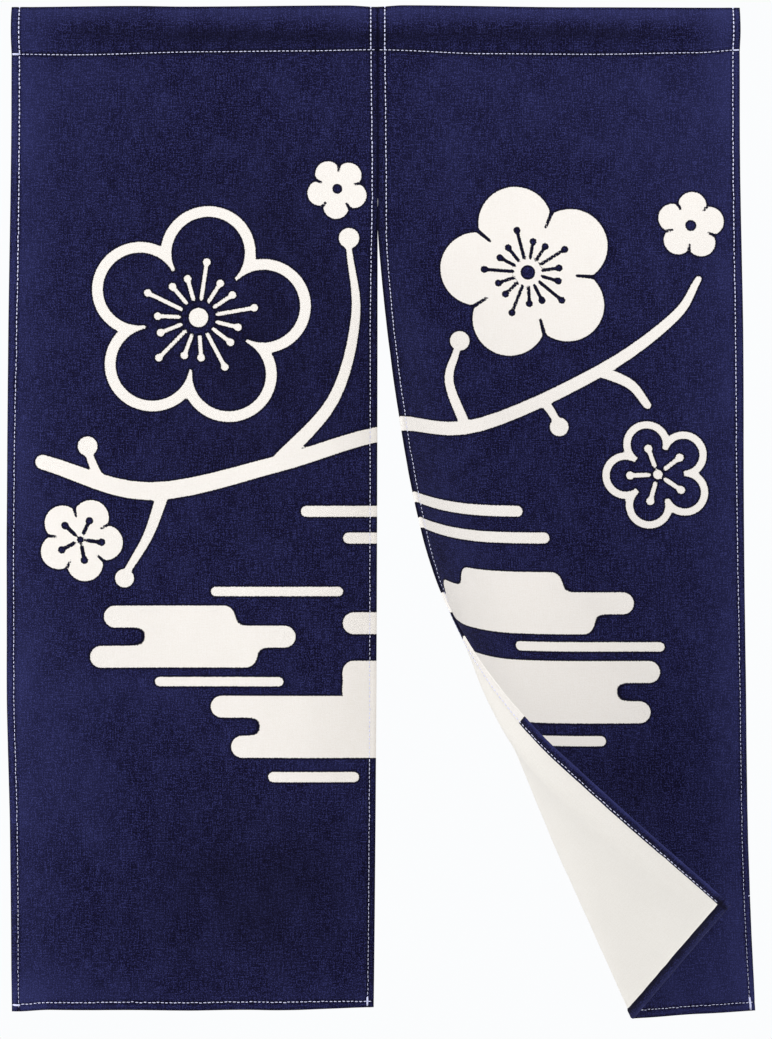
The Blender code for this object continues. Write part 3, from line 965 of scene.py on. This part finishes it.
def stitch_rings(surface, places, radius=THREAD_RADIUS, arch=THREAD_ARCH):
    """Corner points of short arched threads. places is an (across, down) pair of (stitch, 4) arrays."""
    centre, out = surface(*places)
    rise = np.array([-0.3, 0.9, 0.9, -0.3]) * arch
    centre = centre + out * rise[None, :, None]
    tangent = unit(np.gradient(centre, axis=1))
    side = unit(np.cross(tangent, out))
    lift = np.cross(side, tangent)
    rings = []
    thin = np.array([0.7, 1.0, 1.0, 0.7])[None, :, None] * np.reshape(radius, (-1, 1, 1))
    for i in range(5):
        angle = tau * i / 5.0
        rings.append(centre + (side * cos(angle) + lift * sin(angle)) * thin)
    return np.stack(rings, 2)


def add_stitches(name, rings, material):
    """One mesh of every stitch of a panel."""
    rings = np.concatenate(rings)
    thread = [(4, 3, 2, 1, 0), (15, 16, 17, 18, 19)]
    for ring in (0, 5, 10):
        for corner in range(5):
            a = ring + corner
            b = ring + (corner + 1) % 5
            thread.append((a, b, b + 5, a + 5))
    firsts = range(0, 20 * len(rings), 20)
    faces = [[first + corner for corner in face] for first in firsts for face in thread]
    mesh = bpy.data.meshes.new(name)
    mesh.from_pydata(rings.reshape(-1, 3).tolist(), [], faces)
    mesh.shade_smooth()
    return add_piece(name, mesh, material)


def stitch_steps(starts, seed):
    """Four places along each stitch, whose lengths differ a little."""
    lengths = STITCH_LENGTH * (1.0 + 0.14 * np.random.default_rng(seed).uniform(-1.0, 1.0, len(starts)))
    return starts[:, None] + lengths[:, None] * np.linspace(0.0, 1.0, 4)[None, :]


def run_of(starts, line, flip, seed):
    """Stitches along a line beside an edge: the places along it, and their distances across."""
    steps = stitch_steps(starts, seed)
    wander = 0.00018 * np.random.default_rng(seed + 50).standard_normal(len(starts))[:, None]
    off = soft_through(line, steps) + wander
    return steps, off if flip is None else flip - off


def sunk_radius(share, seed):
    """Each stitch's radius, from how much of its thread shows above the cloth."""
    uneven = 0.12 * np.random.default_rng(seed + 90).uniform(-1.0, 1.0, len(share))
    return THREAD_RADIUS * share * (1.0 + uneven)


def panel_stitches(panel, material):
    """Every run of stitches of a panel and its sleeve, front and back."""
    rings = []
    across = stitch_starts(0.0006, panel.width - 0.0006)
    for front in (True, False):

        def surface(u, v):
            return panel_surface(panel, u, v, front)

        for line, flip, seed in ((panel.left_stitches, None, 1), (panel.right_stitches, panel.width, 2)):
            side = 0.0 if flip is None else flip
            top = float(soft_through(panel.heading_stitches, side)) + JOIN_PAST_STITCH + 0.0008
            end = SIDE_LINE_END if front or panel.name == "left" or flip else TURNED_LINE_END
            starts = stitch_starts(top, end) + (0.0 if front else STITCH_PITCH / 2.0)
            down, off = run_of(starts, line, flip, seed)
            share = np.full(len(down), BACK_SHOWS)
            if front:
                share = soft_through(THREAD_SHOWS[panel.name], down[:, 0])
            rings.append(stitch_rings(surface, (off, down), sunk_radius(share, seed)))
        seen = across if front or panel.name == "left" else across[across > TURNED_BOTTOM_FROM]
        steps, down = run_of(seen, panel.bottom_stitches, DROP, 3)
        share = np.full(len(down), BOTTOM_SHOWS[panel.name])
        rings.append(stitch_rings(surface, (steps, down), sunk_radius(share, 3)))

    def outside(u, s):
        return sleeve_surface(panel, u, s, True)

    def front_surface(u, v):
        return panel_surface(panel, u, v, True)

    up = stitch_steps(stitch_starts(0.0012, SLEEVE_LENGTH - 0.0006), 4)
    left = float(soft_through(panel.left_stitches, 0.0))
    right = panel.width - float(soft_through(panel.right_stitches, 0.0))
    for place in (left, right):
        rings.append(stitch_rings(outside, (np.full(up.shape, place), up)))
    steps = stitch_steps(across, 5)
    for along in (JOIN_PAST_STITCH, SLEEVE_LENGTH - SLEEVE_BACK_STITCHES):
        share = np.full(len(steps), HEADING_SHOWS)
        rings.append(stitch_rings(outside, (steps, np.full(steps.shape, along)), sunk_radius(share, 5)))
    rings += bar_tacks(PANEL_TACKS[panel.name], front_surface)
    rings += bar_tacks(SLEEVE_TACKS[panel.name], outside)
    return add_stitches(panel.name + "_stitches", rings, material)


BarTack = namedtuple("BarTack", "across down along_across along_down threads")
PANEL_TACKS = {
    "left": (BarTack(0.4300, 1.1870, 0.0, 0.0110, 4), BarTack(0.0012, 1.1920, 0.0095, 0.0004, 4)),
    "right": (BarTack(0.4252, 1.1840, 0.0009, 0.0150, 5), BarTack(0.4302, 1.0640, 0.0024, -0.0006, 2)),
}
SLEEVE_TACKS = {
    "left": (BarTack(0.0006, 0.0010, 0.0082, 0.0, 4),),
    "right": (BarTack(0.4245, 0.0010, 0.0076, 0.0, 3),),
}


def bar_tacks(tacks, surface):
    """Short dense bars of thread that lock the ends of hems and headings."""
    made = []
    t = np.linspace(0.0, 1.0, 4)[None, :]
    for tack in tacks:
        upright = tack.along_down > tack.along_across
        for i in range(tack.threads):
            off = (i - (tack.threads - 1) / 2.0) * TACK_PITCH
            across = tack.across + tack.along_across * t + (off if upright else 0.0)
            down = tack.down + tack.along_down * t + (0.0 if upright else off)
            made.append(stitch_rings(surface, (across, down), TACK_RADIUS, TACK_ARCH))
    return made


# Materials
def new_material(name):
    material = bpy.data.materials.new(name)
    material.use_nodes = True
    return material, material.node_tree, material.node_tree.nodes["Principled BSDF"]


def add_node(tree, kind, **settings):
    node = tree.nodes.new(kind)
    for key, value in settings.items():
        setattr(node, key, value)
    return node


def feed(tree, socket, value):
    """Sets a socket to a number or a colour, or links it."""
    if isinstance(value, (float, tuple)):
        socket.default_value = value
    else:
        tree.links.new(value, socket)


def math_node(tree, operation, first, second=0.5, clamp=False):
    node = add_node(tree, "ShaderNodeMath", operation=operation, use_clamp=clamp)
    feed(tree, node.inputs[0], first)
    feed(tree, node.inputs[1], second)
    return node.outputs[0]


def times(tree, first, second, clamp=False):
    return math_node(tree, "MULTIPLY", first, second, clamp)


def plus(tree, first, second):
    return math_node(tree, "ADD", first, second)


def mix_colour(tree, factor, first, second):
    node = add_node(tree, "ShaderNodeMix", data_type="RGBA")
    feed(tree, node.inputs[0], factor)
    feed(tree, node.inputs[6], first)
    feed(tree, node.inputs[7], second)
    return node.outputs[2]


def add_bump(tree, shader, height, strength, distance):
    bump = add_node(tree, "ShaderNodeBump")
    bump.inputs["Strength"].default_value = strength
    bump.inputs["Distance"].default_value = distance
    tree.links.new(height, bump.inputs["Height"])
    tree.links.new(bump.outputs[0], shader.inputs["Normal"])


def cloth_noise(tree, cut, per_metre_across, per_metre_down, detail, roughness):
    """Noise on the flat cloth, with its own scale each way."""
    mapping = add_node(tree, "ShaderNodeMapping")
    mapping.inputs["Scale"].default_value = (per_metre_across, per_metre_down, 1.0)
    tree.links.new(cut, mapping.inputs["Vector"])
    noise = add_node(tree, "ShaderNodeTexNoise", noise_dimensions="2D")
    noise.inputs["Scale"].default_value = 1.0
    noise.inputs["Detail"].default_value = detail
    noise.inputs["Roughness"].default_value = roughness
    tree.links.new(mapping.outputs[0], noise.inputs["Vector"])
    return noise.outputs["Fac"]


def ramp(tree, value, low, high):
    """0 under low, 1 over high, straight between."""
    node = add_node(tree, "ShaderNodeMapRange")
    node.inputs["From Min"].default_value = low
    node.inputs["From Max"].default_value = high
    tree.links.new(value, node.inputs["Value"])
    return node.outputs[0]


def attribute(tree, name):
    node = add_node(tree, "ShaderNodeAttribute", attribute_type="GEOMETRY", attribute_name=name)
    return node.outputs["Fac"]


# The deepest navy also serves as painted shade and the palest as painted light, beside the yarns' own deep
# and pale tones
NAVY_DEEP = (0.0018, 0.0014, 0.0100, 1.0)
NAVY = (0.0046, 0.0035, 0.0305, 1.0)
NAVY_PALE_AND_PAINTED_LIGHT = (0.0370, 0.0420, 0.1560, 1.0)
BARE = (0.848, 0.815, 0.775, 1.0)
BARE_SHADE = (0.805, 0.764, 0.710, 1.0)
BACK = (0.840, 0.812, 0.762, 1.0)
BACK_SHADE = (0.800, 0.768, 0.712, 1.0)
THREAD = (0.740, 0.760, 1.000, 1.0)
THREAD_SHADE = (0.640, 0.660, 0.910, 1.0)
WEAVE_PER_METRE = 880.0


def canvas(name, inside):
    """Plain-woven canvas: slubby yarns, small pale specks, a soft nap, and the printed navy ground with
    painted light and shade.
    """
    material, tree, shader = new_material(name)
    cut = add_node(tree, "ShaderNodeUVMap", uv_map="cut").outputs[0]
    weft = cloth_noise(tree, cut, 70.0, 760.0, 1.0, 0.5)
    warp = cloth_noise(tree, cut, 760.0, 50.0, 1.0, 0.5)
    speck = cloth_noise(tree, cut, 640.0, 640.0, 2.0, 0.6)
    cloud = cloth_noise(tree, cut, 26.0, 19.0, 4.0, 0.6)
    yarns = plus(tree, times(tree, weft, 0.5), times(tree, warp, 0.5))
    grain = plus(tree, times(tree, yarns, 0.38), times(tree, speck, 0.62))

    yarn_tone = ramp(tree, grain, 0.36, 0.62)
    bare = mix_colour(tree, yarn_tone, BARE_SHADE, BARE)
    back = mix_colour(tree, yarn_tone, BACK_SHADE, BACK)
    navy_dye_and_painted_light = mix_colour(tree, ramp(tree, grain, 0.40, 0.56), NAVY_DEEP, NAVY)
    navy_dye_and_painted_light = mix_colour(tree, times(tree, ramp(tree, grain, 0.51, 0.62), 0.72), navy_dye_and_painted_light, NAVY_PALE_AND_PAINTED_LIGHT)
    navy_dye_and_painted_light = mix_colour(tree, times(tree, ramp(tree, cloud, 0.42, 0.66), 0.10), navy_dye_and_painted_light, NAVY_PALE_AND_PAINTED_LIGHT)

    # painted light and shade from the mesh attribute: paler where the light falls, deeper where shade falls
    wear = attribute(tree, "wear")
    navy_dye_and_painted_light = mix_colour(tree, times(tree, wear, 0.30, clamp=True), navy_dye_and_painted_light, NAVY_PALE_AND_PAINTED_LIGHT)
    navy_dye_and_painted_light = mix_colour(tree, times(tree, wear, -0.60, clamp=True), navy_dye_and_painted_light, NAVY_DEEP)

    ragged = times(tree, math_node(tree, "SUBTRACT", speck, 0.5), 0.0016)
    away = plus(tree, attribute(tree, "print"), ragged)
    rim = math_node(tree, "SUBTRACT", 1.0, ramp(tree, away, 0.0014, 0.0030))
    navy_dye_and_painted_light = mix_colour(tree, times(tree, rim, 0.95), navy_dye_and_painted_light, NAVY_DEEP)
    colour = mix_colour(tree, ramp(tree, away, -0.0003, 0.0003), bare, navy_dye_and_painted_light)
    if inside:
        colour = mix_colour(tree, ramp(tree, attribute(tree, "hem"), -0.0002, 0.0002), colour, back)
    tree.links.new(colour, shader.inputs["Base Color"])

    height = plus(tree, times(tree, weave_height(tree, cut), 0.35), times(tree, grain, 1.8))
    add_bump(tree, shader, height, 0.30, 0.00030)
    rough = plus(tree, times(tree, grain, -0.30), 0.98)
    tree.links.new(rough, shader.inputs["Roughness"])
    shader.inputs["Specular IOR Level"].default_value = 0.08
    shader.inputs["Sheen Weight"].default_value = 0.02
    shader.inputs["Sheen Roughness"].default_value = 0.55
    shader.inputs["Sheen Tint"].default_value = (0.75, 0.80, 1.0, 1.0)
    return material


def weave_height(tree, cut):
    """Over-and-under of a plain weave: the product of two waves, as the yarns pass each other."""
    split = add_node(tree, "ShaderNodeSeparateXYZ")
    tree.links.new(cut, split.inputs[0])
    across = math_node(tree, "SINE", times(tree, split.outputs[0], WEAVE_PER_METRE * pi))
    down = math_node(tree, "SINE", times(tree, split.outputs[1], WEAVE_PER_METRE * pi))
    return times(tree, across, down)


def thread_material():
    material, tree, shader = new_material("stitch_thread")
    place = add_node(tree, "ShaderNodeNewGeometry").outputs["Position"]
    noise = add_node(tree, "ShaderNodeTexNoise")
    noise.inputs["Scale"].default_value = 900.0
    tree.links.new(place, noise.inputs["Vector"])
    colour = mix_colour(tree, noise.outputs["Fac"], THREAD_SHADE, THREAD)
    tree.links.new(colour, shader.inputs["Base Color"])
    add_bump(tree, shader, noise.outputs["Fac"], 0.4, 0.0001)
    shader.inputs["Roughness"].default_value = 0.6
    shader.inputs["Sheen Weight"].default_value = 0.2
    return material


def floor_material():
    material, tree, shader = new_material("pale_floor")
    noise = add_node(tree, "ShaderNodeTexNoise")
    noise.inputs["Scale"].default_value = 3.0
    colour = mix_colour(tree, noise.outputs["Fac"], (0.80, 0.80, 0.80, 1.0), (0.84, 0.84, 0.84, 1.0))
    tree.links.new(colour, shader.inputs["Base Color"])
    shader.inputs["Roughness"].default_value = 0.7
    return material


# Studio
FLOOR_Z = -1.90
FLOOR_HALF = 1.60
CAMERA_PLACE = (0.0118, -3.0, -0.6138)
CAMERA_LENS = 86.8
AreaLight = namedtuple("AreaLight", "name place size power target")
LIGHTS = (
    AreaLight("key", (-0.9, -2.2, 1.3), 1.6, 39.0, (0.0, 0.0, -0.7)),
    AreaLight("front_low", (-0.3, -2.4, -1.5), 0.9, 1.5, (0.0, 0.0, -0.8)),
    AreaLight("left_side", (-1.25, -0.15, -0.70), 0.8, 7.0, (-0.10, 0.0, -0.7)),
    AreaLight("right_side", (1.20, -1.20, 0.40), 0.9, 10.0, (0.15, 0.0, -0.7)),
)


def add_floor():
    mesh = bpy.data.meshes.new("floor")
    corners = [(x * FLOOR_HALF, y * FLOOR_HALF, FLOOR_Z) for x, y in ((-1, -1), (1, -1), (1, 1), (-1, 1))]
    mesh.from_pydata(corners, [], [(0, 1, 2, 3)])
    add_piece("floor", mesh, floor_material())


def add_lights():
    for light in LIGHTS:
        data = bpy.data.lights.new(light.name, "AREA")
        data.size = light.size
        data.energy = light.power
        lamp = bpy.data.objects.new(light.name, data)
        lamp.location = light.place
        toward = Vector(light.target) - Vector(light.place)
        lamp.rotation_mode = "QUATERNION"
        lamp.rotation_quaternion = toward.to_track_quat("-Z", "Y")
        bpy.context.scene.collection.objects.link(lamp)


def add_world():
    world = bpy.data.worlds.new("studio")
    world.use_nodes = True
    tree = world.node_tree
    background = tree.nodes["Background"]
    place = add_node(tree, "ShaderNodeTexCoord").outputs["Generated"]
    split = add_node(tree, "ShaderNodeSeparateXYZ")
    tree.links.new(place, split.inputs[0])
    behind = ramp(tree, split.outputs[1], -0.45, -0.05)
    upper = ramp(tree, split.outputs[2], -0.8, 0.8)
    around = mix_colour(tree, upper, (0.42, 0.42, 0.43, 1.0), (0.60, 0.60, 0.61, 1.0))
    level = mix_colour(tree, behind, around, (0.965, 0.975, 0.985, 1.0))
    tree.links.new(level, background.inputs["Color"])
    background.inputs["Strength"].default_value = 1.0
    bpy.context.scene.world = world


def add_camera():
    data = bpy.data.cameras.new("camera")
    data.sensor_width = 36.0
    data.lens = CAMERA_LENS
    camera = bpy.data.objects.new("camera", data)
    camera.location = CAMERA_PLACE
    camera.rotation_euler = (radians(90.0), 0.0, 0.0)
    bpy.context.scene.collection.objects.link(camera)
    bpy.context.scene.camera = camera


def main():
    bpy.context.scene.view_settings.view_transform = "Standard"
    cloth = (canvas("canvas_front", False), canvas("canvas_back", True))
    thread = thread_material()
    for panel in (LEFT, RIGHT):
        sleeve = add_sleeve(panel, cloth)
        sheet = add_panel(panel, cloth)
        stitches = panel_stitches(panel, thread)
        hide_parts("heading_" + panel.name)
        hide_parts("panel_" + panel.name)
        for piece, slot in ((sleeve, "canvas"), (sheet, "canvas"), (stitches, "thread")):
            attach(piece, "root")
    add_floor()
    add_lights()
    add_world()
    add_camera()


main()
